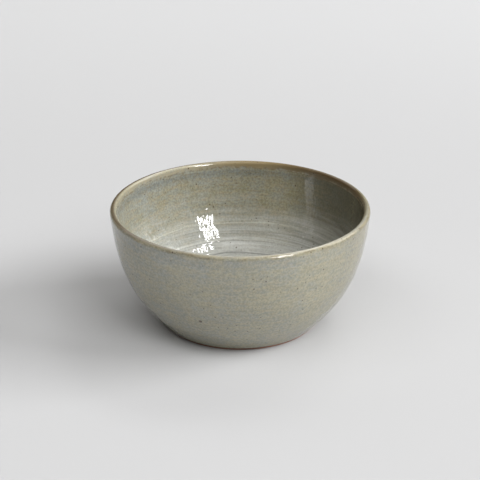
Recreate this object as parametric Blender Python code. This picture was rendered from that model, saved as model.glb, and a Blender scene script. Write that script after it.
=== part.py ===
"""Wheel-thrown stoneware breakfast bowl: a clay body and the three coats of glaze that are fused to it.

Metres, +Z up. The origin is the middle of the foot, on the plane that the bowl stands on. Every piece is
a section of (radius, height) points turned once round the bowl's axis. The sections all come from one
line, the finished skin, which runs from the glaze line at the foot up the outside, over the lip and down
the inside to the middle of the floor. Each coat is a stretch of that line with its own depth, and the clay
lies under them.
"""

import math

import bmesh
import bpy
import numpy as np

# Outside of the bowl
RIM_DIAMETER = 0.150
BOWL_HEIGHT = 0.0704
LIP_THICKNESS = 0.0038
RIM_LEAN = math.radians(4.7)
RIM_REACH = 0.0407
FOOT_SLOPE = math.radians(47.7)
FOOT_REACH = 0.0204

# Wall and floor, measured through clay and glaze
WALL_AT_FOOT = 0.0072
FLOOR_THICKNESS = 0.0066
FLOOR_DISH = 0.0016
FLOOR_BLEND = 0.015

# Trimmed foot of bare clay
FOOT_DIAMETER = 0.0910
FOOT_RING_WIDTH = 0.0085
FOOT_CHAMFER = 0.0005
FOOT_RECESS = 0.0022
FOOT_RECESS_RUN = 0.004

# Coats of glaze
GLAZE_THICKNESS = 0.0005
RIM_GLAZE_THICKNESS = 0.0003
GLAZE_FADE = 0.012
GLAZE_LINE = 0.0011
RIM_BAND_OUTSIDE = 0.0040
RIM_BAND_INSIDE = 0.0046
SEAT_GAP = 0.0003

# Fineness of the turned faces
TURN_STEPS = 64
OUTER_STEPS = 10
RIM_SIDE_STEPS = 4
INNER_STEPS = 16
CURVE_SAMPLES = 400
WELD = 0.00001
SHARP_EDGE = math.radians(40.0)


def heading(angle):
    """Unit (radius, height) vector at this angle above the table."""
    return np.array((math.cos(angle), math.sin(angle)))


def lengths_along(line):
    """Distance of each point of a line from its start."""
    steps = np.hypot(*np.diff(line, axis=0).T)
    return np.concatenate(([0.0], np.cumsum(steps)))


def into_wall(line):
    """Unit vectors square to a line, on its left, where the clay is all along the finished skin."""
    ahead = np.gradient(line, axis=0)
    ahead /= np.hypot(*ahead.T)[:, None]
    return np.column_stack((-ahead[:, 1], ahead[:, 0]))


def smooth_max(first, second, blend):
    """The larger of two heights, eased over this blend where they are close."""
    near = np.maximum(blend - np.abs(first - second), 0.0) / blend
    return np.maximum(first, second) + near**2 * blend / 4


def lip_point(angle):
    """Points on the rounded lip, at angles turned from its outer side over the top."""
    radius = LIP_THICKNESS / 2
    centre = np.array((RIM_DIAMETER / 2 - radius, BOWL_HEIGHT - radius))
    return centre + radius * np.column_stack((np.cos(angle), np.sin(angle)))


def outer_wall():
    """Outside from the glaze line to the lip: one cubic curve from the foot's slope to the rim's lean."""
    coat = GLAZE_THICKNESS + SEAT_GAP
    start = np.array((FOOT_DIAMETER / 2 + coat * math.sin(FOOT_SLOPE), GLAZE_LINE))
    end = lip_point(np.array([-RIM_LEAN]))[0]
    from_foot = start + FOOT_REACH * heading(FOOT_SLOPE)
    to_rim = end - RIM_REACH * heading(math.pi / 2 - RIM_LEAN)
    t = np.linspace(0.0, 1.0, CURVE_SAMPLES)[:, None]
    s = 1.0 - t
    return s**3 * start + 3 * s**2 * t * from_foot + 3 * s * t**2 * to_rim + t**3 * end


def inner_wall(outside):
    """Inside from the lip to the middle of the floor.

    The line is the outside set in by the wall, which thickens towards the foot. It is carried on down its
    own slope to the axis, and the gently dished floor then eases it up.
    """
    share = lengths_along(outside)
    share /= share[-1]
    wall = LIP_THICKNESS + (WALL_AT_FOOT - LIP_THICKNESS) * (1.0 - share) ** 2
    inside = outside + into_wall(outside) * wall[:, None]
    low, above = inside[:2]
    slope = (above[1] - low[1]) / (above[0] - low[0])
    radius = np.linspace(0.0, low[0], CURVE_SAMPLES, endpoint=False)
    below = np.column_stack((radius, low[1] - slope * (low[0] - radius)))
    line = np.concatenate((below, inside))
    floor = FOOT_RECESS + FLOOR_THICKNESS + FLOOR_DISH * (line[:, 0] / low[0]) ** 2
    line[:, 1] = smooth_max(line[:, 1], floor, FLOOR_BLEND)
    return line[::-1]


class FinishedSkin:
    """The line that the eye and hand meet, and the depths of glaze under it."""

    def __init__(self):
        outside = outer_wall()
        lip = lip_point(np.linspace(-RIM_LEAN, math.pi - RIM_LEAN, CURVE_SAMPLES))
        inside = inner_wall(outside)
        self.line = np.concatenate((outside[:-1], lip, inside[1:]))
        self.along = lengths_along(self.line)
        self.inward = into_wall(self.line)
        self.top = self.along[np.argmax(self.line[:, 1])]
        self.end = self.along[-1]

    def glaze(self, stations):
        """Depth of glaze, which thins towards the top of the lip."""
        away = np.clip(np.abs(stations - self.top) / GLAZE_FADE, 0.0, 1.0)
        eased = away**2 * (3 - 2 * away)
        return RIM_GLAZE_THICKNESS + (GLAZE_THICKNESS - RIM_GLAZE_THICKNESS) * eased

    def under(self, stations, depth):
        """Points this deep under the skin."""
        at = [np.interp(stations, self.along, values) for values in self.line.T]
        into = [np.interp(stations, self.along, values) for values in self.inward.T]
        points = np.column_stack(at) + np.column_stack(into) * np.reshape(depth, (-1, 1))
        points[stations >= self.end, 0] = 0.0
        return points

    def coat(self, stations):
        """Section of one coat: back along its underside, then out along its face."""
        underside = self.under(stations, self.glaze(stations))
        face = self.under(stations, np.zeros_like(stations))
        return np.concatenate((underside[::-1], face))

    def clay(self, stations):
        """Surface of the clay under the coats, a seat gap below them."""
        return self.under(stations, self.glaze(stations) + SEAT_GAP)


def foot_section():
    """Bare underside from the middle out: the recess, the flat ring that the bowl stands on, its edge."""
    edge = FOOT_DIAMETER / 2
    ring = edge - FOOT_RING_WIDTH
    return np.array(
        (
            (0.0, FOOT_RECESS),
            (ring - FOOT_RECESS_RUN, FOOT_RECESS),
            (ring, 0.0),
            (edge - FOOT_CHAMFER, 0.0),
            (edge, FOOT_CHAMFER),
        )
    )


def fired_material(name, colour, roughness):
    """Principled material for one fired surface."""
    material = bpy.data.materials.new(name)
    material.use_nodes = True
    shader = material.node_tree.nodes["Principled BSDF"]
    shader.inputs["Base Color"].default_value = (*colour, 1.0)
    shader.inputs["Roughness"].default_value = roughness
    shader.inputs["Metallic"].default_value = 0.0
    return material


def turned_piece(name, section, ring, material, parent):
    """One object: a section turned once round the axis. A ring's closes on itself, any other on the axis."""
    mesh = bpy.data.meshes.new(name)
    bm = bmesh.new()
    verts = [bm.verts.new((radius, 0.0, height)) for radius, height in section]
    edges = [bm.edges.new(pair) for pair in zip(verts, verts[1:])]
    if ring:
        edges.append(bm.edges.new((verts[-1], verts[0])))
    bmesh.ops.spin(
        bm,
        geom=verts + edges,
        axis=(0.0, 0.0, 1.0),
        cent=(0.0, 0.0, 0.0),
        angle=2 * math.pi,
        steps=TURN_STEPS,
    )
    bmesh.ops.remove_doubles(bm, verts=bm.verts, dist=WELD)
    bmesh.ops.recalc_face_normals(bm, faces=bm.faces)
    bm.to_mesh(mesh)
    bm.free()
    mesh.shade_smooth()
    mesh.set_sharp_from_angle(angle=SHARP_EDGE)
    mesh.materials.append(material)
    piece = bpy.data.objects.new(name, mesh)
    bpy.context.scene.collection.objects.link(piece)
    piece.parent = parent
    return piece


def build():
    """Clears the scene and builds the bowl's four pieces under one empty."""
    for old in list(bpy.data.objects):
        bpy.data.objects.remove(old, do_unlink=True)

    bowl = bpy.data.objects.new("bowl", None)
    bpy.context.scene.collection.objects.link(bowl)
    skin = FinishedSkin()

    band_start = skin.top - RIM_BAND_OUTSIDE
    band_end = skin.top + RIM_BAND_INSIDE
    outer = np.linspace(0.0, band_start - SEAT_GAP, OUTER_STEPS + 1)
    rim_outside = np.linspace(band_start, skin.top, RIM_SIDE_STEPS + 1)
    rim_inside = np.linspace(skin.top, band_end, RIM_SIDE_STEPS + 1)
    rim = np.concatenate((rim_outside, rim_inside[1:]))
    inner = np.linspace(band_end + SEAT_GAP, skin.end, INNER_STEPS + 1)

    clay = fired_material("bare_clay", (0.26, 0.125, 0.075), 0.85)
    outside_coat = fired_material("outside_glaze", (0.30, 0.295, 0.235), 0.16)
    inside_coat = fired_material("inside_glaze", (0.29, 0.29, 0.245), 0.14)
    lip_coat = fired_material("lip_glaze", (0.33, 0.255, 0.14), 0.20)

    under_coats = skin.clay(np.concatenate((outer, rim[1:-1], inner)))
    body = np.concatenate((foot_section(), under_coats))
    turned_piece("clay_body", body, False, clay, bowl)
    turned_piece("outer_glaze", skin.coat(outer), True, outside_coat, bowl)
    turned_piece("rim_glaze", skin.coat(rim), True, lip_coat, bowl)
    turned_piece("inner_glaze", skin.coat(inner), False, inside_coat, bowl)


build()
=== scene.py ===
"""Looks of a wheel-thrown stoneware breakfast bowl: its turned pieces, fired finishes and a plain studio.

Metres, +Z up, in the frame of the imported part. Every piece is a section of (radius, height) points turned
round the bowl's axis. The sections follow the finished skin, the line that runs from the glaze line at the
foot up the outside, over the lip and down the inside to the middle of the floor.
"""

import logging
import math
from dataclasses import dataclass, field
from enum import Enum
from functools import partial, reduce
from typing import Mapping, Optional, Union

import bpy
import numpy as np
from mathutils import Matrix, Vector


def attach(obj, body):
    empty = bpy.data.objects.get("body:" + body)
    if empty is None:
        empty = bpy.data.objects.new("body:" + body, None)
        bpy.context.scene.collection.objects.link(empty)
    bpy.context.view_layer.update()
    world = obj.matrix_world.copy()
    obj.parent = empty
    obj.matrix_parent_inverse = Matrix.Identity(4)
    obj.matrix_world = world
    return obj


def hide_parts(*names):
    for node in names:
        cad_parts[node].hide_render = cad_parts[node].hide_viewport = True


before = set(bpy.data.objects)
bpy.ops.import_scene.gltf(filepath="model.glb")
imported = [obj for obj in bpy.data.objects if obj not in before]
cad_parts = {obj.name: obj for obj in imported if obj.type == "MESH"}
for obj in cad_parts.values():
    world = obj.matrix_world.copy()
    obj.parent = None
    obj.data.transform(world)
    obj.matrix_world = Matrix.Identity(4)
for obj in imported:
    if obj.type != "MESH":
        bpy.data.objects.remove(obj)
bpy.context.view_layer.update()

BODY = "root"
MILLIMETRE = 0.001
TURN = 2.0 * math.pi
SHARP_EDGE = math.radians(40.0)
DISTANCE_ATTRIBUTE = "from_lip"
RING_ATTRIBUTE = "ring_height"
RING_UNIT = 0.1 * MILLIMETRE
ON_AXIS = 1e-9

# How finely a cloudy noise breaks up, and the roughness of a grainy one
SMOOTH = 0.0
SOFT = 1.0
PLAIN = 2.0
RICH = 3.0
FINE = 4.0
GRAINY = 0.6

Colour = tuple[float, float, float]
Socket = bpy.types.NodeSocket
Value = Union[Socket, float, tuple[float, ...]]
Inputs = Mapping[Union[str, int], Value]
Outputs = bpy.types.bpy_prop_collection

log = logging.getLogger("breakfast_bowl")


# Curves and the bowl's section


def ease(value: np.ndarray, low: float, high: float) -> np.ndarray:
    """Rises smoothly from 0 at low to 1 at high: t * t * (3 - 2 t) of the share t of the way between them.

    Args:
        value: What is eased.
        low: Where the rise starts.
        high: Where the rise ends.

    Returns:
        Array of the same shape, from 0 to 1.
    """
    share = np.clip((value - low) / (high - low), 0.0, 1.0)
    return share * share * (3.0 - 2.0 * share)


def heading(angle: float) -> np.ndarray:
    """Unit (radius, height) vector at this angle above the table."""
    return np.array((math.cos(angle), math.sin(angle)))


def lengths_along(line: np.ndarray) -> np.ndarray:
    """Distance of each point of a line from its start."""
    steps = np.hypot(*np.diff(line, axis=0).T)
    return np.concatenate(([0.0], np.cumsum(steps)))


def into_wall(line: np.ndarray) -> np.ndarray:
    """Unit vectors square to a line, on its left, where the clay lies all along the finished skin.

    Args:
        line: The line's (radius, height) points.

    Returns:
        One vector for each point.
    """
    ahead = np.gradient(line, axis=0)
    ahead /= np.hypot(*ahead.T)[:, None]
    return np.column_stack((-ahead[:, 1], ahead[:, 0]))


def smooth_max(first: np.ndarray, second: np.ndarray, blend: float) -> np.ndarray:
    """The larger of two heights, eased over this blend where they are close."""
    near = np.maximum(blend - np.abs(first - second), 0.0) / blend
    return np.maximum(first, second) + near**2 * blend / 4.0


@dataclass(frozen=True)
class BowlProfile:
    """Driving sizes of the bowl's section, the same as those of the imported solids."""

    rim_diameter: float = 0.150
    bowl_height: float = 0.0704
    lip_thickness: float = 0.0038
    rim_lean: float = math.radians(4.7)
    rim_reach: float = 0.0407
    foot_slope: float = math.radians(47.7)
    foot_reach: float = 0.0204
    wall_at_foot: float = 0.0072
    floor_thickness: float = 0.0066
    floor_dish: float = 0.0016
    floor_blend: float = 0.015
    foot_diameter: float = 0.0910
    foot_ring_width: float = 0.0085
    foot_chamfer: float = 0.0005
    foot_recess: float = 0.0022
    foot_recess_run: float = 0.004
    glaze_thickness: float = 0.0005
    rim_glaze_thickness: float = 0.0003
    glaze_fade: float = 0.012
    glaze_line: float = 0.0011
    rim_band_outside: float = 0.0040
    rim_band_inside: float = 0.0046
    seat_gap: float = 0.0003
    curve_samples: int = 1600

    def lip_points(self, angle: np.ndarray) -> np.ndarray:
        """Points of the rounded lip: a half circle of its thickness, from the outer side over the top.

        Args:
            angle: Angles round the half circle's middle, from level.

        Returns:
            The lip's (radius, height) points.
        """
        radius = self.lip_thickness / 2.0
        centre = np.array((self.rim_diameter / 2.0 - radius, self.bowl_height - radius))
        return centre + radius * np.column_stack((np.cos(angle), np.sin(angle)))

    def outer_wall(self) -> np.ndarray:
        """Outside from the glaze line to the lip: one cubic curve from the foot's slope to the rim's lean.

        Returns:
            The outside's (radius, height) points from the glaze line up.
        """
        coat = self.glaze_thickness + self.seat_gap
        start_radius = self.foot_diameter / 2.0 + coat * math.sin(self.foot_slope)
        start = np.array((start_radius, self.glaze_line))
        end = self.lip_points(np.array([-self.rim_lean]))[0]
        from_foot = start + self.foot_reach * heading(self.foot_slope)
        to_rim = end - self.rim_reach * heading(math.pi / 2.0 - self.rim_lean)
        t = np.linspace(0.0, 1.0, self.curve_samples)[:, None]
        s = 1.0 - t
        return s**3 * start + 3 * s**2 * t * from_foot + 3 * s * t**2 * to_rim + t**3 * end

    def inner_wall(self, outside: np.ndarray) -> np.ndarray:
        """Inside from the lip to the middle of the floor.

        The line is the outside set in by the wall, which thickens towards the foot. It is carried on down
        its own slope to the axis, and the gently dished floor then eases it up.

        Args:
            outside: The outside's (radius, height) points from the glaze line up.

        Returns:
            The inside's (radius, height) points from the lip down.
        """
        share = lengths_along(outside)
        share /= share[-1]
        wall = self.lip_thickness + (self.wall_at_foot - self.lip_thickness) * (1.0 - share) ** 2
        inside = outside + into_wall(outside) * wall[:, None]
        low, above = inside[:2]
        slope = (above[1] - low[1]) / (above[0] - low[0])
        radius = np.linspace(0.0, low[0], self.curve_samples, endpoint=False)
        below = np.column_stack((radius, low[1] - slope * (low[0] - radius)))
        line = np.concatenate((below, inside))
        floor = self.foot_recess + self.floor_thickness + self.floor_dish * (line[:, 0] / low[0]) ** 2
        line[:, 1] = smooth_max(line[:, 1], floor, self.floor_blend)
        return line[::-1]


@dataclass
class FinishedSkin:
    """The line that the eye and hand meet, measured by its distance from the top of the lip.

    Distances are negative down the outside and positive down the inside.
    """

    profile: BowlProfile
    line: np.ndarray = field(init=False)
    from_lip: np.ndarray = field(init=False)
    inward: np.ndarray = field(init=False)

    def __post_init__(self) -> None:
        """Joins the outside, the lip and the inside into one line."""
        profile = self.profile
        outside = profile.outer_wall()
        turn = np.linspace(-profile.rim_lean, math.pi - profile.rim_lean, profile.curve_samples)
        inside = profile.inner_wall(outside)
        self.line = np.concatenate((outside[:-1], profile.lip_points(turn), inside[1:]))
        along = lengths_along(self.line)
        self.from_lip = along - along[np.argmax(self.line[:, 1])]
        self.inward = into_wall(self.line)

    @property
    def start(self) -> float:
        """Distance of the glaze line from the top of the lip, below zero."""
        return float(self.from_lip[0])

    @property
    def end(self) -> float:
        """Distance of the middle of the floor from the top of the lip."""
        return float(self.from_lip[-1])

    def glaze(self, distance: np.ndarray) -> np.ndarray:
        """Depth of glaze, which thins towards the top of the lip.

        Args:
            distance: Distances from the top of the lip.

        Returns:
            Depths in metres, of the same shape.
        """
        eased = ease(np.abs(distance), 0.0, self.profile.glaze_fade)
        thin, full = self.profile.rim_glaze_thickness, self.profile.glaze_thickness
        return thin + (full - thin) * eased

    def under(self, distance: np.ndarray, depth: np.ndarray) -> np.ndarray:
        """Points this deep under the skin: the line's own point moved square to the line, into the wall.

        Args:
            distance: Distances from the top of the lip, an array of any shape.
            depth: Depths under the skin, of the same shape, below zero for points that stand proud.

        Returns:
            Array of that shape with (radius, height) last.
        """
        at = [np.interp(distance, self.from_lip, values) for values in self.line.T]
        into = [np.interp(distance, self.from_lip, values) for values in self.inward.T]
        points = np.stack(at, axis=-1) + np.stack(into, axis=-1) * depth[..., None]
        points[distance >= self.end, 0] = 0.0
        return points


# Throwing rings and turned meshes


@dataclass(frozen=True)
class Ripple:
    """One family of finger or tool marks: a spiral wave down the wall.

    Its waver and fading round the bowl come from sines of the angle, with a whole number of waves a turn.
    """

    WAVER_PITCHES = 9.0
    FADING_PITCHES = 5.0
    FADING_MEAN = 0.7
    FADING_SWING = 0.3

    pitch: float
    rise: float
    waves: int
    waver: float
    offset: float

    def height(self, distance: np.ndarray, angle: np.ndarray) -> np.ndarray:
        """Height of the wave: rise * fading(angle) * sin(2 pi distance / pitch + angle + waver(angle)).

        Args:
            distance: Distances from the top of the lip.
            angle: Angles round the bowl, of the same shape.

        Returns:
            Heights in metres, of the same shape.
        """
        drift = self.waves * angle + self.offset + distance / (self.WAVER_PITCHES * self.pitch)
        fade = (self.waves + 1) * angle + 2.0 * self.offset + distance / (self.FADING_PITCHES * self.pitch)
        fading = self.FADING_MEAN + self.FADING_SWING * np.sin(fade)
        phase = TURN * distance / self.pitch + angle + self.waver * np.sin(drift) + self.offset
        return self.rise * fading * np.sin(phase)


@dataclass(frozen=True)
class Ledge:
    """One ring that stands out from the rest: a low ridge, or a groove where its rise is below zero."""

    distance: float
    width: float
    rise: float
    waver: float
    offset: float

    def height(self, distance: np.ndarray, angle: np.ndarray) -> np.ndarray:
        """Height of the ring: rise * exp(-(t * t)), t being the way from its wavering middle in widths."""
        middle = self.distance + self.waver * np.sin(angle + self.offset) * np.sin(2.0 * angle)
        return self.rise * np.exp(-(((distance - middle) / self.width) ** 2))


@dataclass(frozen=True)
class ThrowingRings:
    """Shallow rings that fingers leave in the wall, strongest low on the inside."""

    inside: tuple[Ripple, ...] = (
        Ripple(pitch=0.0079, rise=0.000020, waves=2, waver=0.50, offset=0.4),
        Ripple(pitch=0.0047, rise=0.000012, waves=3, waver=0.70, offset=2.1),
        Ripple(pitch=0.0027, rise=0.000006, waves=5, waver=0.80, offset=4.0),
        Ripple(pitch=0.0017, rise=0.000003, waves=4, waver=0.60, offset=5.2),
    )
    outside: tuple[Ripple, ...] = (
        Ripple(pitch=0.0134, rise=0.000060, waves=2, waver=0.60, offset=1.3),
        Ripple(pitch=0.0052, rise=0.000012, waves=3, waver=0.50, offset=3.3),
        Ripple(pitch=0.0023, rise=0.000005, waves=4, waver=0.60, offset=0.7),
    )
    ledges: tuple[Ledge, ...] = (
        Ledge(distance=0.0393, width=0.0008, rise=0.000035, waver=0.0006, offset=0.3),
        Ledge(distance=0.0503, width=0.0009, rise=0.000045, waver=0.0006, offset=1.9),
        Ledge(distance=0.0592, width=0.0008, rise=-0.000060, waver=0.0005, offset=3.0),
    )
    calm_lip: float = 0.006
    full_inside: float = 0.040
    full_outside: float = 0.016
    upper_share: float = 0.45
    calm_middle: float = 0.009

    def height(self, distance: np.ndarray, angle: np.ndarray, end: float) -> np.ndarray:
        """How far the skin stands proud of its smooth line: the sum of the ripples of its side.

        Args:
            distance: Distances from the top of the lip.
            angle: Angles round the bowl, of the same shape.
            end: Distance of the middle of the floor, where the rings die out.

        Returns:
            Heights in metres, of the same shape.
        """
        calm = ease(np.abs(distance), self.calm_lip, self.full_outside)
        lower = ease(distance, self.full_outside, self.full_inside)
        deep = self.upper_share + (1.0 - self.upper_share) * lower
        middle = ease(end - distance, 0.0, self.calm_middle)
        within = sum(ripple.height(distance, angle) for ripple in self.inside) * deep * middle
        within += sum(ledge.height(distance, angle) for ledge in self.ledges)
        without = sum(ripple.height(distance, angle) for ripple in self.outside)
        return calm * np.where(distance > 0.0, within, without)


def angles_round(columns: int) -> np.ndarray:
    """Angles of a turn's columns, the last one a step short of the first."""
    return np.linspace(0.0, TURN, columns, endpoint=False)


def all_round(values: np.ndarray, columns: int) -> np.ndarray:
    """Each row's value repeated for every column of a turn."""
    return np.repeat(values[:, None], columns, axis=1)


def turned_mesh(
    name: str, section: np.ndarray, ring: bool, attributes: dict[str, np.ndarray]
) -> bpy.types.Mesh:
    """Mesh of a section that is carried round the axis: x = r cos a, y = r sin a, z = h on a grid.

    Rows run along the section and columns round the axis. A row on the axis becomes one point, closed by
    a fan. Faces point to the right of the section's direction.

    Args:
        name: The mesh's name.
        section: Array of rows, columns and (radius, height).
        ring: Whether the last row joins the first, as on a coat with two edges.
        attributes: Values for each row and column, kept on the mesh's points.

    Returns:
        The mesh, shaded smooth apart from its sharp edges.
    """
    rows, columns, _ = section.shape
    angle = angles_round(columns)
    radius, height = section[..., 0], section[..., 1]
    points = np.stack((radius * np.cos(angle), radius * np.sin(angle), height), axis=-1)
    index = np.arange(rows * columns).reshape(rows, columns)
    on_axis = np.all(radius < ON_AXIS, axis=1)
    index[on_axis] = index[on_axis][:, :1]
    if ring:
        index = np.concatenate((index, index[:1]))
    here, after = index, np.roll(index, -1, axis=1)
    quads = np.stack((here[:-1], after[:-1], after[1:], here[1:]), axis=-1).reshape(-1, 4)
    opens = quads[:, 0] == quads[:, 1]
    closes = quads[:, 2] == quads[:, 3]
    fans = np.concatenate((quads[opens][:, [1, 2, 3]], quads[closes][:, [0, 1, 2]]))
    quads = quads[~(opens | closes)]
    corners = np.concatenate((quads.ravel(), fans.ravel()))
    used, corners = np.unique(corners, return_inverse=True)
    sizes = np.concatenate((np.full(len(quads), 4), np.full(len(fans), 3)))
    starts = np.concatenate(([0], np.cumsum(sizes)[:-1]))

    mesh = bpy.data.meshes.new(name)
    mesh.vertices.add(len(used))
    mesh.vertices.foreach_set("co", points.reshape(-1, 3)[used].astype(np.float32).ravel())
    mesh.loops.add(len(corners))
    mesh.loops.foreach_set("vertex_index", corners.astype(np.int32))
    mesh.polygons.add(len(sizes))
    mesh.polygons.foreach_set("loop_start", starts.astype(np.int32))
    mesh.update(calc_edges=True)
    mesh.validate()
    for label, values in attributes.items():
        layer = mesh.attributes.new(label, "FLOAT", "POINT")
        layer.data.foreach_set("value", values.reshape(-1)[used].astype(np.float32))
    mesh.shade_smooth()
    mesh.set_sharp_from_angle(angle=SHARP_EDGE)
    return mesh


# Shader nodes and the effects that finishes share


class NodeSheet:
    """Short-hand for laying out the nodes of one material or group."""

    CLOUD_LOW = 0.34
    CLOUD_HIGH = 0.66

    def __init__(self, tree: bpy.types.NodeTree) -> None:
        """Keeps the tree that the nodes go into."""
        self.tree = tree

    def node(self, kind: str, inputs: Optional[Inputs] = None, **settings: object) -> bpy.types.Node:
        """Adds a node.

        Args:
            kind: The node's type.
            inputs: Sockets to link or values to set, by the input's name or number.
            settings: Properties of the node.

        Returns:
            The new node.
        """
        made = self.tree.nodes.new(kind)
        for label, value in settings.items():
            setattr(made, label, value)
        self.fill(made, inputs or {})
        return made

    def fill(self, made: bpy.types.Node, inputs: Inputs) -> None:
        """Links or sets the inputs of a node.

        Args:
            made: The node.
            inputs: Sockets to link or values to set, by the input's name or number.
        """
        for key, value in inputs.items():
            if isinstance(value, Socket):
                self.tree.links.new(value, made.inputs[key])
            else:
                made.inputs[key].default_value = value

    def math(self, operation: str, first: Value, second: Value = 0.0, clamp: bool = False) -> Socket:
        """One sum of two values."""
        made = self.node("ShaderNodeMath", {0: first, 1: second}, operation=operation, use_clamp=clamp)
        return made.outputs[0]

    def times(self, *values: Value) -> Socket:
        """The product of several values."""
        return reduce(partial(self.math, "MULTIPLY"), values)

    def plus(self, *values: Value) -> Socket:
        """The sum of several values."""
        return reduce(partial(self.math, "ADD"), values)

    def rise(self, value: Value, low: Value, high: Value, least: Value = 0.0, most: Value = 1.0) -> Socket:
        """Value eased from least at low to most at high.

        Args:
            value: What is eased.
            low: Where the change starts.
            high: Where the change ends.
            least: The result at low and before it.
            most: The result at high and past it.

        Returns:
            The eased value.
        """
        inputs = {"Value": value, "From Min": low, "From Max": high, "To Min": least, "To Max": most}
        made = self.node("ShaderNodeMapRange", inputs, interpolation_type="SMOOTHSTEP", clamp=True)
        return made.outputs["Result"]

    def fall(self, value: Value, low: Value, high: Value) -> Socket:
        """Value eased from 1 at low to 0 at high."""
        return self.rise(value, low, high, 1.0, 0.0)

    def sway(self, cloud: Socket, least: Value = 0.0, most: Value = 1.0) -> Socket:
        """A cloudy value spread out between least and most."""
        return self.rise(cloud, self.CLOUD_LOW, self.CLOUD_HIGH, least, most)

    def vector_math(self, operation: str, first: Value, second: Value = (0.0, 0.0, 0.0)) -> Socket:
        """One sum of two vectors."""
        return self.node("ShaderNodeVectorMath", {0: first, 1: second}, operation=operation).outputs[0]

    def between(self, operation: str, first: Value, second: Value) -> Socket:
        """One value from two vectors, such as their distance or dot product."""
        made = self.node("ShaderNodeVectorMath", {0: first, 1: second}, operation=operation)
        return made.outputs["Value"]

    def scale(self, vector: Value, factor: Value) -> Socket:
        """A vector or colour times a value."""
        return self.node("ShaderNodeVectorMath", {0: vector, "Scale": factor}, operation="SCALE").outputs[0]

    def mix(self, factor: Value, first: Value, second: Value) -> Socket:
        """Two colours mixed."""
        return self.node("ShaderNodeMix", {0: factor, 6: first, 7: second}, data_type="RGBA").outputs[2]

    def noise(self, vector: Value, size: float, detail: Value = PLAIN, roughness: float = 0.5) -> Socket:
        """Cloudy value from 0 to 1, mostly near a half, with clouds of this size."""
        inputs = {"Vector": vector, "Scale": 1.0 / size, "Detail": detail, "Roughness": roughness}
        return self.node("ShaderNodeTexNoise", inputs).outputs[0]

    def bump(self, height: Value) -> Socket:
        """Normal of a relief whose heights are in millimetres."""
        return self.node("ShaderNodeBump", {"Distance": MILLIMETRE, "Height": height}).outputs[0]


def rgba(colour: Colour) -> tuple[float, float, float, float]:
    """Colour with full alpha, as colour sockets take it."""
    return (*colour, 1.0)


def fresh_material(name: str) -> tuple[bpy.types.Material, NodeSheet, bpy.types.Node]:
    """Makes a material that has only its shader.

    Args:
        name: The material's name.

    Returns:
        The material, the sheet for its nodes and its shader.
    """
    material = bpy.data.materials.new(name)
    material.use_nodes = True
    return material, NodeSheet(material.node_tree), material.node_tree.nodes["Principled BSDF"]


class EffectGroup:
    """A shader node group that several finishes share, with its inputs and outputs."""

    def __init__(self, name: str, inputs: dict[str, Value], outputs: dict[str, str]) -> None:
        """Makes the group's sockets.

        Args:
            name: The group's name.
            inputs: Each input's start value; a four-part one is a colour.
            outputs: Each output's socket type.
        """
        self.tree = bpy.data.node_groups.new(name, "ShaderNodeTree")
        for label, start in inputs.items():
            kind = "NodeSocketColor" if isinstance(start, tuple) else "NodeSocketFloat"
            socket = self.tree.interface.new_socket(name=label, in_out="INPUT", socket_type=kind)
            socket.default_value = start
        for label, kind in outputs.items():
            self.tree.interface.new_socket(name=label, in_out="OUTPUT", socket_type=kind)
        self.sheet = NodeSheet(self.tree)
        self.given = self.sheet.node("NodeGroupInput").outputs
        self.result = self.sheet.node("NodeGroupOutput").inputs

    def give(self, label: str, socket: Socket) -> None:
        """Links a socket to one of the group's outputs."""
        self.tree.links.new(socket, self.result[label])

    def place(self, sheet: NodeSheet, inputs: Optional[Inputs] = None) -> Outputs:
        """Puts the group into a material with the material's own values, and returns its outputs."""
        return sheet.node("ShaderNodeGroup", inputs, node_tree=self.tree).outputs


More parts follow.
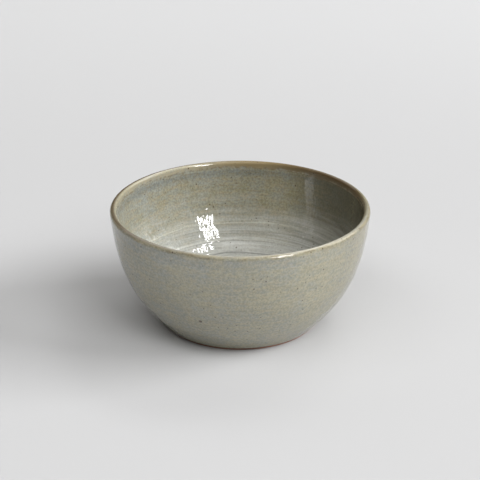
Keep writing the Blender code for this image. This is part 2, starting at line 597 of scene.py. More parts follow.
class FiredEffects:
    """The effects that the finishes share, each built once as a node group."""

    LINES_ROUND = 1.6
    PATCHES = {"Lines": 0.085, "Round": 6.0, "Detail": RICH}
    PATCH_TONE = (0.05, 0.45)
    STREAKS = {"Lines": 0.7, "Round": 9.0, "Detail": RICH}
    STREAK_TONE = (0.7, -0.7)
    CURD_SIZE = 0.0016
    WARM_SIZE = 0.0010
    WARM_RANGE = (0.97, 1.20)
    GRAIN_SIZE = 0.0012
    RAGGED_SIZE = 0.0004
    RAGGED_REACH = 0.00022
    SMALLEST_SPECK = 0.45
    SPECK_CORE = 0.45

    def __init__(self) -> None:
        """Builds every group."""
        self.places = self._places()
        self.turning = self._turning()
        self.specks = self._specks()
        self.mottle = self._mottle()

    def _places(self) -> EffectGroup:
        """Where a point lies: its coordinates, its direction from the axis and its place down the skin.

        Returns:
            The group.
        """
        outputs = {
            "Point": "NodeSocketVector",
            "Outward": "NodeSocketVector",
            "Distance": "NodeSocketFloat",
            "Depth": "NodeSocketFloat",
            "Ring": "NodeSocketFloat",
        }
        group = EffectGroup("turned place", {}, outputs)
        sheet = group.sheet
        point = sheet.node("ShaderNodeTexCoord").outputs["Object"]
        flat = sheet.vector_math("MULTIPLY", point, (1.0, 1.0, 0.0))
        metres = sheet.node("ShaderNodeAttribute", attribute_name=DISTANCE_ATTRIBUTE).outputs["Fac"]
        ring = sheet.node("ShaderNodeAttribute", attribute_name=RING_ATTRIBUTE).outputs["Fac"]
        distance = sheet.times(metres, 1.0 / MILLIMETRE)
        group.give("Point", point)
        group.give("Outward", sheet.vector_math("NORMALIZE", flat))
        group.give("Distance", distance)
        group.give("Depth", sheet.math("ABSOLUTE", distance))
        group.give("Ring", ring)
        return group

    def _turning(self) -> EffectGroup:
        """Lines round the bowl: cloudy noise drawn out round the axis and tight down the wall.

        Returns:
            The group.
        """
        inputs = {"Lines": 1.0, "Round": self.LINES_ROUND, "Detail": RICH}
        group = EffectGroup("turning lines", inputs, {"Value": "NodeSocketFloat"})
        sheet, given = group.sheet, group.given
        place = self.places.place(sheet)
        down = sheet.times(place["Distance"], given["Lines"])
        down_part = sheet.node("ShaderNodeCombineXYZ", {"Z": down}).outputs[0]
        vector = sheet.vector_math("ADD", sheet.scale(place["Outward"], given["Round"]), down_part)
        group.give("Value", sheet.noise(vector, 1.0, detail=given["Detail"]))
        return group

    def _specks(self) -> EffectGroup:
        """Iron specks: round cells of which a share is kept, each with its own size.

        Returns:
            The group.
        """
        inputs = {"Cell": 0.003, "Share": 0.2, "Size": 0.12}
        group = EffectGroup("iron specks", inputs, {"Mask": "NodeSocketFloat"})
        sheet, given = group.sheet, group.given
        point = self.places.place(sheet)["Point"]
        clouds = {"Vector": point, "Scale": 1.0 / self.RAGGED_SIZE}
        ragged = sheet.node("ShaderNodeTexNoise", clouds).outputs["Color"]
        vector = sheet.vector_math("ADD", point, sheet.scale(ragged, self.RAGGED_REACH))
        cells = {"Vector": vector, "Scale": sheet.math("DIVIDE", 1.0, given["Cell"])}
        cell = sheet.node("ShaderNodeTexVoronoi", cells, feature="F1").outputs
        chance = sheet.node("ShaderNodeSeparateColor", {0: cell["Color"]}).outputs
        kept = sheet.math("LESS_THAN", chance[0], given["Share"])
        size = sheet.times(given["Size"], sheet.rise(chance[1], 0.0, 1.0, self.SMALLEST_SPECK, 1.0))
        core = sheet.times(size, self.SPECK_CORE)
        group.give("Mask", sheet.times(kept, sheet.fall(cell["Distance"], core, size)))
        return group

    def _mottle(self) -> EffectGroup:
        """Glaze that parts into two tones: broad patches, curds, a fine warm grain and speckle.

        Returns:
            The group.
        """
        inputs = {
            "Khaki": rgba((0.3, 0.3, 0.2)),
            "Grey": rgba((0.3, 0.3, 0.3)),
            "Tan": rgba((0.4, 0.3, 0.2)),
            "Bias": 0.0,
            "Curds": 0.3,
            "Tan Share": 0.3,
            "Speckle": 0.1,
        }
        outputs = {"Colour": "NodeSocketColor", "Grain": "NodeSocketFloat"}
        group = EffectGroup("curdled glaze", inputs, outputs)
        sheet, given = group.sheet, group.given
        point = self.places.place(sheet)["Point"]
        patches = self.turning.place(sheet, self.PATCHES)[0]
        streaks = self.turning.place(sheet, self.STREAKS)[0]
        curds = sheet.noise(point, self.CURD_SIZE, RICH, GRAINY)
        warm = sheet.plus(sheet.noise(point, self.WARM_SIZE, PLAIN, GRAINY), streaks)
        grain = sheet.noise(point, self.GRAIN_SIZE, RICH, GRAINY)
        broad = sheet.plus(sheet.sway(patches, *self.PATCH_TONE), given["Bias"])
        parted = sheet.plus(sheet.sway(curds, -1.0, 1.0), sheet.sway(streaks, *self.STREAK_TONE))
        tone = sheet.math("ADD", broad, sheet.times(parted, given["Curds"]), clamp=True)
        base = sheet.mix(tone, given["Khaki"], given["Grey"])
        share = sheet.times(sheet.rise(warm, *self.WARM_RANGE), given["Tan Share"])
        speckle = sheet.times(sheet.sway(grain, -1.0, 1.0), given["Speckle"])
        group.give("Colour", sheet.scale(sheet.mix(share, base, given["Tan"]), sheet.plus(speckle, 1.0)))
        group.give("Grain", grain)
        return group


# Layers of a glaze


@dataclass
class Canvas:
    """A finish in the making: its nodes, the shared effects, where a point lies and what is laid so far."""

    sheet: NodeSheet
    effects: FiredEffects
    lines: Socket
    place: Outputs = field(init=False)
    colour: Optional[Socket] = None
    grain: Optional[Socket] = None

    def __post_init__(self) -> None:
        """Finds where a point lies."""
        self.place = self.effects.places.place(self.sheet)

    def tint(self, share: Value, colour: Colour) -> None:
        """Mixes a share of a colour into what is laid so far."""
        self.colour = self.sheet.mix(share, self.colour, rgba(colour))

    def shade(self, amount: Value) -> None:
        """Lightens what is laid so far by a share, or darkens it where the share is below zero."""
        self.colour = self.sheet.scale(self.colour, self.sheet.plus(amount, 1.0))

    def towards(self, azimuth: float) -> Socket:
        """How far a point is on one side of the bowl.

        Args:
            azimuth: The side's direction from the axis, in degrees.

        Returns:
            From -1 on the far side to 1 at the azimuth.
        """
        turn = math.radians(azimuth)
        side = (math.cos(turn), math.sin(turn), 0.0)
        return self.sheet.between("DOT_PRODUCT", self.place["Outward"], side)


@dataclass(frozen=True)
class Reach:
    """A band round the bowl, in millimetres from the top of the lip, that eases in and out."""

    start: float
    full: float
    fade: float
    end: float

    def mask(self, sheet: NodeSheet, depth: Value) -> Socket:
        """1 within the band and 0 outside it."""
        into = sheet.rise(depth, self.start, self.full)
        return sheet.times(into, sheet.fall(depth, self.fade, self.end))


@dataclass(frozen=True)
class Side:
    """A side of the bowl at an azimuth, which eases in from one share of the way there to another.

    The share is -1 on the far side and 1 at the azimuth.
    """

    azimuth: float
    start: float
    full: float = 1.0

    def mask(self, canvas: Canvas, least: float = 0.0, most: float = 1.0) -> Socket:
        """From least away from the side to most on it."""
        return canvas.sheet.rise(canvas.towards(self.azimuth), self.start, self.full, least, most)


@dataclass(frozen=True)
class CurdledTones:
    """Khaki and blue-grey glaze, greyer on one side of the bowl and in patches of a band under the lip.

    On another side of the bowl the colour is darkened as painted shade; where band_shade is below zero, the
    band under the lip is darkened, partly as painted shade under the lip.
    """

    khaki: Colour = (0.320, 0.303, 0.213)
    grey: Colour = (0.263, 0.273, 0.242)
    tan: Colour = (0.366, 0.306, 0.207)
    curds: float = 0.22
    tan_share: float = 0.24
    speckle: float = 0.145
    band: Reach = Reach(2.2, 4.0, 7.0, 12.5)
    band_strength: float = 0.65
    band_shade: float = 0.0
    band_patch: float = 0.77
    band_least: float = 0.4
    grey_side: float = 200.0
    side_tone: float = 0.21
    ring_tone: float = -0.1
    # Side of the bowl that is darkened as painted shade, and by how much
    shade_side: Side = Side(5.0, 0.3)
    side_shade: float = -0.22

    def paint(self, canvas: Canvas) -> None:
        """Lays the glaze's colour, with painted shade on one side and in the band under the lip.

        Args:
            canvas: The finish in the making.
        """
        sheet, place = canvas.sheet, canvas.place
        around = sheet.noise(place["Outward"], self.band_patch, SOFT)
        # Painted shade: 1 away from the shaded side and 0 on it; the band under the lip fades there too
        unshaded = self.shade_side.mask(canvas, 1.0, 0.0)
        patchy = sheet.sway(around, self.band_least, 1.0)
        band = sheet.times(self.band.mask(sheet, place["Depth"]), patchy, unshaded)
        bias = sheet.plus(
            sheet.times(band, self.band_strength),
            sheet.times(canvas.towards(self.grey_side), self.side_tone),
            sheet.times(place["Ring"], self.ring_tone),
        )
        inputs = {
            "Khaki": rgba(self.khaki),
            "Grey": rgba(self.grey),
            "Tan": rgba(self.tan),
            "Bias": bias,
            "Curds": self.curds,
            "Tan Share": self.tan_share,
            "Speckle": self.speckle,
        }
        made = canvas.effects.mottle.place(sheet, inputs)
        canvas.colour, canvas.grain = made["Colour"], made["Grain"]
        # Darkens the shaded side as painted shade, and the band where band_shade is below zero, partly as
        # painted shade under the lip
        thin = sheet.rise(unshaded, 0.0, 1.0, self.side_shade, 0.0)
        canvas.shade(sheet.plus(sheet.times(band, self.band_shade), thin))


@dataclass(frozen=True)
class RingLine:
    """A ring lighter or darker than the glaze round it, in millimetres from the top of the lip; the dark
    rings are partly painted shade under a ridge and in a groove.
    """

    distance: float
    width: float
    shade: float

    def amount(self, sheet: NodeSheet, distance: Value) -> Socket:
        """How much the ring lightens or darkens the glaze."""
        low, high = self.distance - self.width, self.distance + self.width
        return sheet.times(Reach(low, self.distance, self.distance, high).mask(sheet, distance), self.shade)


@dataclass(frozen=True)
class PooledGlaze:
    """Paler glaze that has pooled low on the inside, drawn into rings."""

    pale: Colour = (0.466, 0.472, 0.447)
    start: float = 19.0
    full: float = 58.0
    wander: float = 4.0
    share: float = 0.95
    scant_side: Side = Side(185.0, 0.0)
    scant_share: float = 0.35
    streak_share: float = 0.72
    broad_lines: float = 0.22
    line_shade: float = 0.035
    pool_line_shade: float = 0.055
    pool_grain: float = 0.06
    rings: tuple[RingLine, ...] = (
        RingLine(39.2, 0.7, 0.25),
        RingLine(44.5, 4.0, -0.09),
        RingLine(50.2, 0.8, 0.22),
        RingLine(51.6, 0.8, -0.13),
        RingLine(59.2, 0.8, -0.40),
    )
    ring_wander: float = 0.7

    def paint(self, canvas: Canvas) -> None:
        """Lays the pooled glaze, the faint turning lines and the rings, whose dark ones are partly painted
        shade.

        Args:
            canvas: The finish in the making.
        """
        sheet, distance = canvas.sheet, canvas.place["Distance"]
        broad = canvas.effects.turning.place(sheet, {"Lines": self.broad_lines})[0]
        moved = sheet.plus(distance, sheet.sway(broad, -self.wander, self.wander))
        low = sheet.rise(moved, self.start, self.full)
        streak = sheet.sway(canvas.lines, self.streak_share * self.share, self.share)
        scant = self.scant_side.mask(canvas, 1.0, 1.0 - self.scant_share)
        canvas.tint(sheet.times(low, streak, scant), self.pale)
        depth = sheet.rise(low, 0.0, 1.0, self.line_shade, self.pool_line_shade)
        canvas.shade(sheet.times(sheet.sway(canvas.lines, -1.0, 1.0), depth))
        canvas.shade(sheet.times(sheet.sway(canvas.grain, -self.pool_grain, self.pool_grain), low))
        # Rings; the dark ones are partly painted shade under a ridge and in the groove
        nudged = sheet.plus(distance, sheet.sway(broad, -self.ring_wander, self.ring_wander))
        canvas.shade(sheet.plus(*(ring.amount(sheet, nudged) for ring in self.rings)))


@dataclass(frozen=True)
class LipBreak:
    """Ochre where the glaze thins over the lip, with a patchy brown edge.

    The crest is painted pale in front as a painted sheen, and the ochre is deeper at the back. Brown shows
    on the inner right and along the outer left, partly as iron where the glaze is thin and partly as
    painted shade where the lip faces away from the light.
    """

    ochre: Colour = (0.345, 0.306, 0.212)
    deep: Colour = (0.255, 0.197, 0.105)
    brown: Colour = (0.095, 0.063, 0.032)
    # Painted sheen: the crest is tinted pale on the front of the bowl
    crest: Colour = (0.430, 0.430, 0.395)
    sheen_side: Side = Side(-90.0, -0.2, 0.5)
    sheen_share: float = 0.6
    full: float = 0.9
    end: float = 3.0
    wander: float = 0.6
    more_inside: float = 2.6
    top_depth: float = 1.6
    top_share: float = 0.26
    cloud: float = 0.006
    patch: float = 0.0022
    patch_least: float = 0.25
    patch_most: float = 0.85
    deep_side: Side = Side(72.0, 0.6)
    # Side where the brown is partly iron and partly painted shade
    brown_shade_side: Side = Side(32.0, 0.65)
    inner_edge: float = -0.8
    inner_full: float = 0.6
    # Brown along the outer left, partly painted shade
    outer_shade_side: Side = Side(172.0, -0.1)
    outer_shade_share: float = 0.8
    outer_shade_band: Reach = Reach(-1.9, -0.7, 0.0, 1.3)
    edge_share: float = 0.5

    def paint(self, canvas: Canvas) -> None:
        """Lays the painted sheen on the crest, the broken ochre, its edge and the brown and painted shade
        of the outer edge.

        Args:
            canvas: The finish in the making.
        """
        sheet, place = canvas.sheet, canvas.place
        point, distance, depth = place["Point"], place["Distance"], place["Depth"]
        inside = sheet.rise(distance, self.inner_edge, self.inner_full)
        # Brown on the inner right: partly iron, partly painted shade where the lip faces away from the
        # light
        brown = sheet.times(self.brown_shade_side.mask(canvas), inside)
        deep = self.deep_side.mask(canvas)
        solid = sheet.math("MAXIMUM", brown, deep)
        # Painted sheen: the crest is tinted pale on the front of the bowl
        front = self.sheen_side.mask(canvas, 0.0, self.sheen_share)
        pale = sheet.times(front, sheet.fall(brown, 0.0, 1.0))
        canvas.tint(sheet.times(sheet.fall(depth, 0.0, self.top_depth), pale), self.crest)

        cloud = sheet.noise(point, self.cloud, FINE, GRAINY)
        patch = sheet.noise(point, self.patch, RICH, GRAINY)
        within = sheet.math("GREATER_THAN", distance, 0.0)
        wander = sheet.sway(cloud, -self.wander, self.wander)
        reach = sheet.plus(depth, wander, sheet.times(within, -self.more_inside))
        broken = sheet.math("MAXIMUM", sheet.sway(patch, self.patch_least, self.patch_most), solid)
        top = sheet.rise(depth, 0.0, self.top_depth, self.top_share, 1.0)
        over_top = sheet.math("MAXIMUM", top, solid)
        share = sheet.times(sheet.fall(reach, self.full, self.end), broken, over_top)
        hue = sheet.mix(brown, sheet.mix(deep, rgba(self.ochre), rgba(self.deep)), rgba(self.brown))
        canvas.colour = sheet.mix(share, canvas.colour, hue)

        middle = (self.full + self.end) / 2.0
        edge = Reach(self.full, middle, middle, self.end).mask(sheet, reach)
        canvas.tint(sheet.times(edge, sheet.sway(patch, 0.0, self.edge_share)), self.brown)
        # Brown along the outer left: partly iron, partly painted shade where the lip faces away from the
        # light
        outer = self.outer_shade_side.mask(canvas, 0.0, self.outer_shade_share)
        canvas.tint(sheet.times(outer, self.outer_shade_band.mask(sheet, distance)), self.brown)


@dataclass(frozen=True)
class IronSpot:
    """One larger spot where iron in the clay bleeds through the glaze."""

    azimuth: float
    height: float
    radius: float
    size: float

    def centre(self) -> tuple[float, float, float]:
        """Place of the spot on the skin."""
        turn = math.radians(self.azimuth)
        return (self.radius * math.cos(turn), self.radius * math.sin(turn), self.height)


@dataclass(frozen=True)
class SpeckField:
    """Specks in cells of one width, of which a share is kept.

    A speck's size is a share of its cell, and its strength is how much of its colour shows.
    """

    cell: float
    kept: float
    size: float
    strength: float

    def mask(self, canvas: Canvas) -> Socket:
        """Where the specks lie, and how strongly they show."""
        inputs = {"Cell": self.cell, "Share": self.kept, "Size": self.size}
        return canvas.sheet.times(canvas.effects.specks.place(canvas.sheet, inputs)[0], self.strength)


@dataclass(frozen=True)
class IronMarks:
    """Iron specks, fine and bold, and a few larger spots."""

    iron: Colour = (0.075, 0.050, 0.033)
    fine: SpeckField = SpeckField(0.0018, 0.35, 0.18, 0.65)
    bold: SpeckField = SpeckField(0.0034, 0.46, 0.20, 0.80)
    spots: tuple[IronSpot, ...] = ()
    spot_core: float = 0.65
    spot_share: float = 0.9

    def paint(self, canvas: Canvas) -> None:
        """Lays the specks and spots.

        Args:
            canvas: The finish in the making.
        """
        sheet = canvas.sheet
        canvas.tint(self.fine.mask(canvas), self.iron)
        canvas.tint(self.bold.mask(canvas), self.iron)
        for spot in self.spots:
            apart = sheet.between("DISTANCE", canvas.place["Point"], spot.centre())
            mask = sheet.rise(apart, self.spot_core * spot.size, spot.size, self.spot_share, 0.0)
            canvas.tint(mask, self.iron)


@dataclass(frozen=True)
class GlazeRelief:
    """Gloss of a fired glaze: soft waves, drips that run down the wall and fine turning lines."""

    peel_size: float = 0.0033
    peel_rise: float = 0.08
    drip_round: float = 25.0
    drip_down: float = 0.22
    drip_rise: float = 0.0
    drip_from: float = 4.0
    drip_full: float = 40.0
    line_rise: float = 0.012
    gloss: float = 0.045
    gloss_spread: float = 0.015
    ior: float = 1.6

    def dress(self, canvas: Canvas, shader: bpy.types.Node) -> None:
        """Sets the shader's gloss and its waves, whose heights are in millimetres.

        Args:
            canvas: The finish in the making.
            shader: The material's shader.
        """
        sheet, place = canvas.sheet, canvas.place
        peel = sheet.noise(place["Point"], self.peel_size, SMOOTH)
        runs = {"Lines": self.drip_down, "Round": self.drip_round, "Detail": SMOOTH}
        drips = canvas.effects.turning.place(sheet, runs)[0]
        low = sheet.rise(place["Distance"], self.drip_from, self.drip_full, 0.0, self.drip_rise)
        height = sheet.plus(
            sheet.times(peel, self.peel_rise),
            sheet.times(drips, low),
            sheet.times(canvas.lines, self.line_rise),
        )
        rough = sheet.sway(canvas.grain, self.gloss - self.gloss_spread, self.gloss + self.gloss_spread)
        sheet.fill(shader, {"Roughness": rough, "Normal": sheet.bump(height), "IOR": self.ior})


# Finishes


@dataclass(frozen=True)
class GlazeFinish:
    """Glossy stoneware glaze, laid in layers over each other."""

    name: str
    tones: CurdledTones = CurdledTones()
    pool: PooledGlaze = PooledGlaze()
    lip: LipBreak = LipBreak()
    iron: IronMarks = IronMarks()
    relief: GlazeRelief = GlazeRelief()
    fine_lines: float = 0.9

    def material(self, effects: FiredEffects) -> bpy.types.Material:
        """Builds the finish as a material.

        Args:
            effects: The shared node groups.

        Returns:
            The material, ready for a mesh.
        """
        material, sheet, shader = fresh_material(self.name)
        lines = effects.turning.place(sheet, {"Lines": self.fine_lines, "Detail": FINE})[0]
        canvas = Canvas(sheet, effects, lines)
        for layer in (self.tones, self.pool, self.lip, self.iron):
            layer.paint(canvas)
        sheet.fill(shader, {"Base Color": canvas.colour})
        self.relief.dress(canvas, shader)
        return material


@dataclass(frozen=True)
class ClayFinish:
    """Bare red-brown stoneware: dry, gritty, with turning lines and a toasted blush."""

    name: str
    body: Colour = (0.215, 0.090, 0.054)
    blush: Colour = (0.290, 0.112, 0.060)
    grit: Colour = (0.11, 0.055, 0.035)
    sand: Colour = (0.40, 0.26, 0.165)
    blush_size: float = 0.017
    marks_down: float = 1.4
    marks_round: float = 2.2
    mark_share: float = 0.35
    mark_range: tuple[float, float] = (0.5, 0.75)
    grit_specks: SpeckField = SpeckField(0.0016, 0.35, 0.22, 0.7)
    sand_specks: SpeckField = SpeckField(0.0013, 0.30, 0.20, 0.5)
    grain_size: float = 0.0004
    roughness: float = 0.82
    roughness_spread: float = 0.08
    relief: float = 0.07

    def material(self, effects: FiredEffects) -> bpy.types.Material:
        """Builds the finish as a material.

        Args:
            effects: The shared node groups.

        Returns:
            The material, ready for a mesh.
        """
        material, sheet, shader = fresh_material(self.name)
        marks = {"Lines": self.marks_down, "Round": self.marks_round, "Detail": FINE}
        canvas = Canvas(sheet, effects, effects.turning.place(sheet, marks)[0])
        point = canvas.place["Point"]
        grain = sheet.noise(point, self.grain_size, RICH, GRAINY)
        blush = sheet.sway(sheet.noise(point, self.blush_size, RICH))
        canvas.colour = sheet.mix(blush, rgba(self.body), rgba(self.blush))
        canvas.tint(sheet.rise(canvas.lines, *self.mark_range, 0.0, self.mark_share), self.grit)
        canvas.tint(self.grit_specks.mask(canvas), self.grit)
        canvas.tint(self.sand_specks.mask(canvas), self.sand)
        height = sheet.times(sheet.plus(grain, canvas.lines), self.relief)
        low, high = self.roughness - self.roughness_spread, self.roughness + self.roughness_spread
        rough = sheet.sway(grain, low, high)
        sheet.fill(shader, {"Base Color": canvas.colour, "Roughness": rough, "Normal": sheet.bump(height)})
        return material


Finish = Union[GlazeFinish, ClayFinish]


# Pieces


class Stretch(Enum):
    """The three stretches of the skin that the coats cover."""

    OUTSIDE = "outside"
    LIP = "lip"
    INSIDE = "inside"


@dataclass
class TurnedPiece:
    """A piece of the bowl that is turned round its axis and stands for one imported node."""

    name: str
    node: str
    slot: str
    finish: Finish
    skin: FinishedSkin
    rings: ThrowingRings
    columns: int = 256

    def section(self) -> tuple[np.ndarray, np.ndarray, bool]:
        """The piece's points, their distances from the lip and whether the section is a ring."""
        raise NotImplementedError

    def proud(self, distance: np.ndarray) -> np.ndarray:
        """Height of the throwing rings at these distances, for every column."""
        angle = np.broadcast_to(angles_round(self.columns), distance.shape)
        return self.rings.height(distance, angle, self.skin.end)

    def build(self) -> bpy.types.Object:
        """Turns the section and puts the piece into the scene.

        Returns:
            The piece's object, at the origin.
        """
        section, distance, ring = self.section()
        swell = self.proud(distance) / RING_UNIT
        mesh = turned_mesh(self.name, section, ring, {DISTANCE_ATTRIBUTE: distance, RING_ATTRIBUTE: swell})
        piece = bpy.data.objects.new(self.name, mesh)
        bpy.context.scene.collection.objects.link(piece)
        return piece

    def dress(self, piece: bpy.types.Object, effects: FiredEffects) -> None:
        """Gives the piece its finish and its place in the frame.

        Args:
            piece: The built object.
            effects: The shared node groups.
        """
        piece.data.materials.append(self.finish.material(effects))
        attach(piece, BODY)
        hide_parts(self.node)


@dataclass
class GlazeCoat(TurnedPiece):
    """One coat of glaze over a stretch of the skin."""

    stretch: Stretch = Stretch.OUTSIDE
    rows: int = 300
    back_rows: int = 40
    edge_nose: float = 0.0006
    edge_waver: float = 0.00010
    edge_waves: tuple[int, int] = (5, 2)
    edge_offset: float = 1.0
    bead_rise: float = 0.00008
    bead_width: float = 0.0007

    def limits(self) -> tuple[float, float]:
        """Where the coat starts and ends.

        Returns:
            The two distances from the top of the lip.
        """
        profile = self.skin.profile
        ends = {
            Stretch.OUTSIDE: (self.skin.start, -profile.rim_band_outside),
            Stretch.LIP: (-profile.rim_band_outside, profile.rim_band_inside),
            Stretch.INSIDE: (profile.rim_band_inside, self.skin.end),
        }
        return ends[self.stretch]

    def rounded_edge(self, past_edge: np.ndarray, glaze: np.ndarray) -> np.ndarray:
        """Depth of the face near the glaze line: a quarter ellipse off the clay, then a low bead.

        Args:
            past_edge: Distances from the coat's own edge.
            glaze: Depth of glaze there.

        Returns:
            Depths under the smooth skin.
        """
        short = 1.0 - np.clip(past_edge / self.edge_nose, 0.0, 1.0)
        bead = self.bead_rise * np.exp(-(((past_edge - 2.0 * self.edge_nose) / self.bead_width) ** 2))
        return glaze * (1.0 - np.sqrt(1.0 - short**2)) - bead * (1.0 - short**2)

    def section(self) -> tuple[np.ndarray, np.ndarray, bool]:
        """Back along the coat's underside, then out along its face.

        Returns:
            The points, their distances from the lip and whether the section is a ring.
        """
        angle = angles_round(self.columns)
        start, end = self.limits()
        first = np.full(self.columns, start)
        if self.stretch is Stretch.OUTSIDE:
            many, few = self.edge_waves
            waver = np.sin(many * angle) * np.sin(few * angle + self.edge_offset)
            first += self.edge_waver * (1.0 + waver)
        share = np.linspace(0.0, 1.0, self.rows)[:, None]
        back_share = np.linspace(0.0, 1.0, self.back_rows)[::-1, None]
        face = first + (end - first) * share
        back = first + (end - first) * back_share
        if self.stretch is Stretch.INSIDE:
            face[-1], back[0] = end, end
        face_depth = -self.proud(face)
        if self.stretch is Stretch.OUTSIDE:
            face_depth += self.rounded_edge(face - first, self.skin.glaze(face))
            back = back[:-1]
        back_depth = self.skin.glaze(back) - self.proud(back)
        distance = np.concatenate((back, face))
        points = self.skin.under(distance, np.concatenate((back_depth, face_depth)))
        return points, distance, self.stretch is not Stretch.INSIDE


@dataclass
class ClayBody(TurnedPiece):
    """The thrown and trimmed stoneware, bare at its foot and under the coats elsewhere."""

    under_rows: int = 120
    foot_rows: int = 190
    corner_rows: int = 8
    bond: float = 0.00002
    mark_pitch: float = 0.0021
    mark_depth: float = 0.00007
    dimple: float = 0.00035
    dimple_width: float = 0.0022

    def underside(self) -> np.ndarray:
        """Foot from the middle out to its edge.

        The height is the recess eased down to the ring that the bowl stands on, with a spiral of turning
        marks and a small dimple in the recess, and a quarter circle at the ring's outer edge.

        Returns:
            Array of rows, columns and (radius, height).
        """
        profile = self.skin.profile
        edge = profile.foot_diameter / 2.0
        rounding = profile.foot_chamfer
        ring = edge - profile.foot_ring_width
        angle = angles_round(self.columns)
        radius = all_round(np.linspace(0.0, edge - rounding, self.foot_rows), self.columns)
        in_recess = 1.0 - ease(radius, ring - profile.foot_recess_run, ring)
        marks = self.mark_depth * np.sin(TURN * radius / self.mark_pitch + angle)
        dimple = self.dimple * np.exp(-((radius / self.dimple_width) ** 2))
        middle = ease(radius, 0.0, self.mark_pitch)
        height = in_recess * (profile.foot_recess + marks * middle - dimple)
        turn = all_round(np.linspace(0.0, math.pi / 2.0, self.corner_rows)[1:], self.columns)
        corner_radius = edge - rounding * (1.0 - np.sin(turn))
        corner_height = rounding * (1.0 - np.cos(turn))
        flat = np.stack((radius, height), axis=-1)
        corner = np.stack((corner_radius, corner_height), axis=-1)
        return np.concatenate((flat, corner))

    def section(self) -> tuple[np.ndarray, np.ndarray, bool]:
        """The underside, then up the wall under the coats and down to the middle of the floor.

        Returns:
            The points, their distances from the lip and whether the section is a ring.
        """
        foot = self.underside()
        distance = all_round(np.linspace(self.skin.start, self.skin.end, self.under_rows), self.columns)
        depth = self.skin.glaze(distance) + self.bond - self.proud(distance)
        wall = self.skin.under(distance, depth)
        before = all_round(self.skin.start - lengths_along(foot[::-1, 0])[::-1], self.columns)
        return np.concatenate((foot, wall)), np.concatenate((before, distance)), False


# Studio


class Shows(Enum):
    """Where a light shows: everywhere, only in the matt shading or only in reflections."""

    EVERYWHERE = "everywhere"
    SHADING = "shading"
    REFLECTIONS = "reflections"


@dataclass(frozen=True)
class SoftBox:
    """A flat light that faces the bowl, placed by its direction and sized by its spread in degrees."""

    name: str
    azimuth: float
    elevation: float
    width: float
    height: float
    radiance: float
    shows: Shows = Shows.EVERYWHERE
    distance: float = 8.0

    def span(self, spread: float) -> float:
        """Length that spreads over this many degrees at the light's distance."""
        return 2.0 * self.distance * math.tan(math.radians(spread / 2.0))

    def build(self, target: Vector) -> bpy.types.Object:
        """Puts the light into the scene.

        Args:
            target: The point that the light faces.

        Returns:
            The light's object.
        """
        lamp = bpy.data.lights.new(self.name, "AREA")
        lamp.shape = "RECTANGLE"
        lamp.size = self.span(self.width)
        lamp.size_y = self.span(self.height)
        lamp.energy = self.radiance * math.pi * lamp.size * lamp.size_y
        turn, lift = math.radians(self.azimuth), math.radians(self.elevation)
        away = Vector((math.cos(turn) * math.cos(lift), math.sin(turn) * math.cos(lift), math.sin(lift)))
        made = bpy.data.objects.new(self.name, lamp)
        made.location = target + away * self.distance
        made.rotation_euler = away.to_track_quat("Z", "Y").to_euler()
        made.visible_glossy = self.shows is not Shows.SHADING
        made.visible_diffuse = self.shows is not Shows.REFLECTIONS
        bpy.context.scene.collection.objects.link(made)
        return made


@dataclass(frozen=True)
class PaneRow:
    """A row of small bright panes of a window, at one elevation."""

    elevation: float
    azimuths: tuple[float, ...]
    radiance: float
    width: float = 3.6
    height: float = 5.8

    def boxes(self) -> list[SoftBox]:
        """The row's panes as lights."""
        size = (self.width, self.height, self.radiance)
        return [
            SoftBox(f"pane_{self.elevation:.0f}_{k}", turn, self.elevation, *size, Shows.REFLECTIONS)
            for k, turn in enumerate(self.azimuths)
        ]


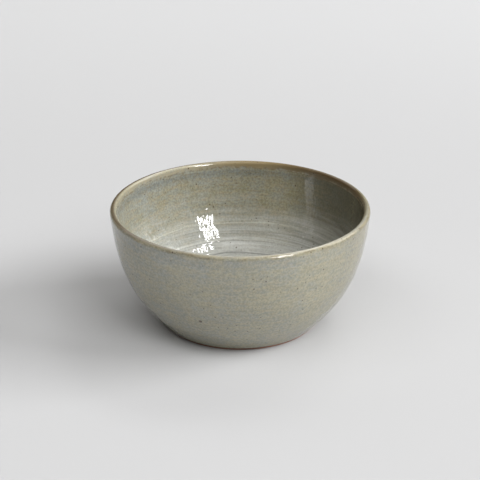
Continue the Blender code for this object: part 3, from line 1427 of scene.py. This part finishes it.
@dataclass
class Studio:
    """Pale floor, soft light from the right and a camera a little above the bowl."""

    floor_half: float = 6.0
    floor_near: Colour = (0.496, 0.498, 0.507)
    floor_far: Colour = (0.572, 0.576, 0.587)
    painted_light_drift: tuple[float, float] = (0.1, 0.9)
    floor_roughness: float = 0.7
    floor_gloss: float = 0.2
    fill: Colour = (0.052, 0.045, 0.026)
    target: tuple[float, float, float] = (0.0, 0.0, 0.035)
    camera_place: tuple[float, float, float] = (-0.00009, -0.74842, 0.37302)
    camera_pitch: float = 23.459
    lens: float = 105.0
    sensor: float = 36.0
    # Elevation, azimuths and radiance
    panes: tuple[PaneRow, ...] = (
        PaneRow(19.5, (-56.0, -46.0), 44.0),
        PaneRow(26.5, (-57.0, -47.0), 44.0),
        PaneRow(31.0, (-53.0,), 34.0),
        PaneRow(36.8, (-58.5, -49.5), 28.0),
        PaneRow(43.5, (-53.0, -44.0), 28.0),
        PaneRow(52.0, (-43.0, -33.0), 28.0),
        PaneRow(60.5, (-26.0, -13.0), 28.0),
    )
    # Name, azimuth, elevation, width, height, radiance and where the light shows
    lights: tuple[SoftBox, ...] = (
        SoftBox("key", -1.0, 30.5, 34.0, 17.0, 17.8, Shows.SHADING),
        SoftBox("window", -52.0, 44.0, 30.0, 36.0, 5.0, Shows.SHADING),
        SoftBox("window_side", 21.0, 32.0, 36.0, 26.0, 3.1, Shows.REFLECTIONS),
        SoftBox("window_top", 20.0, 60.0, 50.0, 12.0, 1.6),
        SoftBox("skylight", 62.0, 51.0, 26.0, 11.0, 4.0),
        SoftBox("ceiling", -90.0, 66.0, 30.0, 20.0, 1.3),
        SoftBox("room", -132.0, 58.0, 64.0, 28.0, 2.2, Shows.SHADING),
        SoftBox("back_wall", 95.0, 44.0, 56.0, 22.0, 0.9),
    )

    def floor(self) -> bpy.types.Object:
        """Flat pale floor, painted a little paler behind the bowl as painted light.

        Returns:
            The floor's object, marked as stage.
        """
        half = self.floor_half
        mesh = bpy.data.meshes.new("floor")
        corners = [(-half, -half, 0.0), (half, -half, 0.0), (half, half, 0.0), (-half, half, 0.0)]
        mesh.from_pydata(corners, [], [(0, 1, 2, 3)])
        material, sheet, shader = fresh_material("pale_floor")
        point = sheet.node("ShaderNodeTexCoord").outputs["Object"]
        depth = sheet.node("ShaderNodeSeparateXYZ", {0: point}).outputs["Y"]
        # Painted light: the floor's colour grows paler towards the back
        back = sheet.rise(depth, *self.painted_light_drift)
        colour = sheet.mix(back, rgba(self.floor_near), rgba(self.floor_far))
        gloss = {"Roughness": self.floor_roughness, "Specular IOR Level": self.floor_gloss}
        sheet.fill(shader, {"Base Color": colour, **gloss})
        mesh.materials.append(material)
        made = bpy.data.objects.new("floor", mesh)
        bpy.context.scene.collection.objects.link(made)
        return made

    def world(self) -> None:
        """Even fill from all round."""
        world = bpy.data.worlds.new("studio")
        world.use_nodes = True
        world.node_tree.nodes["Background"].inputs["Color"].default_value = rgba(self.fill)
        bpy.context.scene.world = world

    def camera(self) -> bpy.types.Object:
        """Long lens a little above the bowl, looking along +Y.

        Returns:
            The camera's object.
        """
        lens = bpy.data.cameras.new("camera")
        lens.lens = self.lens
        lens.sensor_width = self.sensor
        made = bpy.data.objects.new("camera", lens)
        made.location = self.camera_place
        made.rotation_euler = (math.pi / 2.0 - math.radians(self.camera_pitch), 0.0, 0.0)
        bpy.context.scene.collection.objects.link(made)
        bpy.context.scene.camera = made
        return made

    def build(self) -> None:
        """Sets up the floor, the light and the camera."""
        self.floor()
        self.world()
        self.camera()
        panes = [box for row in self.panes for box in row.boxes()]
        for light in (*panes, *self.lights):
            light.build(Vector(self.target))
        bpy.context.scene.view_settings.view_transform = "Standard"


# The whole bowl


@dataclass
class BreakfastBowl:
    """The whole bowl: clay and three coats of glaze over one skin."""

    profile: BowlProfile = field(default_factory=BowlProfile)
    rings: ThrowingRings = field(default_factory=ThrowingRings)
    inside_tones: CurdledTones = CurdledTones(
        khaki=(0.232, 0.214, 0.135),
        grey=(0.258, 0.272, 0.248),
        tan=(0.288, 0.239, 0.155),
        curds=0.13,
        speckle=0.17,
        band=Reach(5.0, 7.0, 8.0, 12.0),
        band_strength=0.5,
        # Painted shade: the band under the lip and the right-hand side of the inside are darkened
        band_shade=-0.25,
        grey_side=160.0,
        side_tone=0.36,
        side_shade=-0.70,
        tan_share=0.5,
    )
    outside_ior: float = 1.92
    inside_drips: float = 0.16
    outside_rows: int = 300
    lip_rows: int = 60
    inside_rows: int = 320
    outside_spots: tuple[IronSpot, ...] = (
        IronSpot(azimuth=-109.6, height=0.0260, radius=0.0649, size=0.00120),
        IronSpot(azimuth=-86.2, height=0.0199, radius=0.0614, size=0.00050),
        IronSpot(azimuth=-96.3, height=0.0224, radius=0.0629, size=0.00040),
        IronSpot(azimuth=-100.9, height=0.0227, radius=0.0631, size=0.00040),
        IronSpot(azimuth=-60.9, height=0.0387, radius=0.0699, size=0.00050),
    )
    lip_spots: tuple[IronSpot, ...] = (
        IronSpot(azimuth=-118.9, height=0.0694, radius=0.0748, size=0.00060),
        IronSpot(azimuth=-53.7, height=0.0694, radius=0.0748, size=0.00055),
        IronSpot(azimuth=50.8, height=0.0687, radius=0.0712, size=0.00050),
        IronSpot(azimuth=116.7, height=0.0688, radius=0.0712, size=0.00055),
    )

    def finishes(self) -> dict[Stretch, GlazeFinish]:
        """The glaze of each stretch: one glaze, thinner on the lip and darker, partly by painted shade, and
        wavier inside.

        Returns:
            A finish for each stretch.
        """
        outside_iron, lip_iron = (IronMarks(spots=spots) for spots in (self.outside_spots, self.lip_spots))
        glossy = GlazeRelief(ior=self.outside_ior)
        wavy = GlazeRelief(drip_rise=self.inside_drips)
        return {
            Stretch.OUTSIDE: GlazeFinish("outside_glaze_fired", iron=outside_iron, relief=glossy),
            Stretch.LIP: GlazeFinish("lip_glaze_fired", iron=lip_iron),
            Stretch.INSIDE: GlazeFinish("inside_glaze_fired", tones=self.inside_tones, relief=wavy),
        }

    def pieces(self) -> list[TurnedPiece]:
        """The bowl's pieces in the order that they are made.

        Returns:
            The clay, then its coats.
        """
        skin = FinishedSkin(self.profile)
        fired = self.finishes()
        clay = ClayFinish("bare_stoneware")
        made = [ClayBody("bare_foot_and_wall", "clay_body", "clay", clay, skin, self.rings)]
        for stretch, name, node, rows in (
            (Stretch.OUTSIDE, "glazed_outside", "outer_glaze", self.outside_rows),
            (Stretch.LIP, "glazed_lip", "rim_glaze", self.lip_rows),
            (Stretch.INSIDE, "glazed_inside", "inner_glaze", self.inside_rows),
        ):
            coat = GlazeCoat(name, node, node, fired[stretch], skin, self.rings, stretch=stretch, rows=rows)
            made.append(coat)
        return made

    def build(self) -> None:
        """Builds and dresses every piece."""
        effects = FiredEffects()
        for part in self.pieces():
            piece = part.build()
            part.dress(piece, effects)
            log.info("%s: %d faces, stands for %s", piece.name, len(piece.data.polygons), part.node)


def main() -> None:
    """Builds the studio and the bowl."""
    logging.basicConfig(level=logging.INFO, format="%(name)s: %(message)s")
    Studio().build()
    BreakfastBowl().build()


if __name__ == "__main__":
    main()
